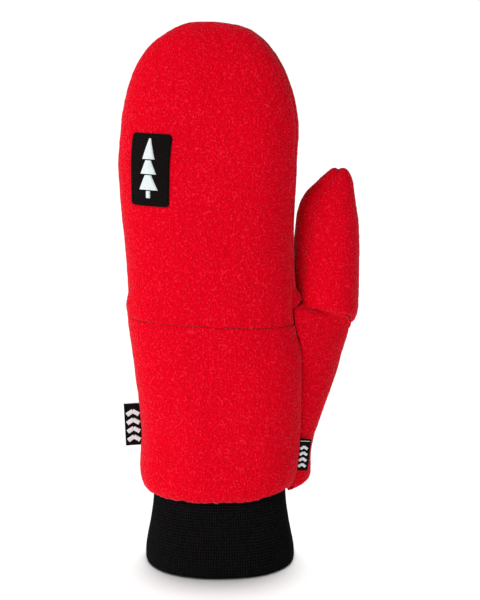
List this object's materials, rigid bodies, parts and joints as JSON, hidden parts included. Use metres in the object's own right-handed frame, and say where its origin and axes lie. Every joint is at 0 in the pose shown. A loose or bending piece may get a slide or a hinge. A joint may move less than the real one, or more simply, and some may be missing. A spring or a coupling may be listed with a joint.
{
  "type": "convertible flip-top mitten",
  "caption": "Left fleece mitten with a rib-knit cuff; its finger hood and its thumb cap flip back to bare a fingerless glove.",
  "frame": {"origin": "middle of the box's base, on the surface that the cuff's rim stands on", "axes": "+Z to the fingertips, +X to the thumb side, +Y to the palm side"},
  "size_m": [0.1298, 0.064, 0.2985],
  "materials": {
    "red_fleece": "matt short-pile fleece",
    "red_lining": "brushed knit lining",
    "red_elastic_binding": "stretch binding",
    "red_thread": "sewing thread",
    "black_rib_knit": "fine double rib knit",
    "black_elastic": "covered elastic",
    "black_label_fabric": "woven label",
    "black_thread": "sewing thread",
    "white_thread": "embroidery thread",
    "magnet_plating": "nickel plate"
  },
  "bodies": {
    "hand": {"rib_cuff": "black_rib_knit", "cuff_rim_elastic": "black_elastic", "wrist_elastic": "red_elastic_binding", "back_panel": "red_fleece", "palm_panel": "red_fleece", "thumb_gusset": "red_fleece", "hand_lining": "red_lining", "knuckle_yoke": "red_lining", "thumb_yoke": "red_lining", "finger_stub_index": "red_fleece", "finger_stub_middle": "red_fleece", "finger_stub_ring": "red_fleece", "finger_stub_little": "red_fleece", "finger_stub_bindings": "red_elastic_binding", "thumb_stub": "red_fleece", "thumb_stub_binding": "red_elastic_binding", "palm_opening_binding": "red_elastic_binding", "hand_magnet": "magnet_plating", "hand_magnet_pocket": "red_lining", "side_label": "black_label_fabric", "side_label_weave": "white_thread", "thumb_side_label": "black_label_fabric", "thumb_side_label_weave": "white_thread", "seam_threads": "red_thread"},
    "hood": {"hood_back_panel": "red_fleece", "hood_palm_panel": "red_fleece", "hood_lining": "red_lining", "hood_hem_elastic": "red_elastic_binding", "hood_magnet": "magnet_plating", "hood_magnet_pocket": "red_lining", "hood_patch": "black_label_fabric", "patch_emblem": "white_thread", "patch_stitching": "black_thread", "hood_seam_threads": "red_thread"},
    "thumb_cap": {"thumb_cap_outer_panel": "red_fleece", "thumb_cap_inner_panel": "red_fleece", "thumb_cap_lining": "red_lining", "thumb_cap_hem_elastic": "red_elastic_binding", "thumb_cap_seam_threads": "red_thread"}
  },
  "joints": [
    {"name": "hood_flip", "type": "hinge", "parent": "hand", "child": "hood", "pos_m": [-0.015, -0.0255, 0.1405], "axis": [1, 0, 0], "range_deg": [0, 172]},
    {"name": "thumb_cap_flip", "type": "hinge", "parent": "hand", "child": "thumb_cap", "pos_m": [0.048, 0.0311, 0.1415], "axis": [-1, 0, 0], "range_deg": [0, 150]}
  ]
}
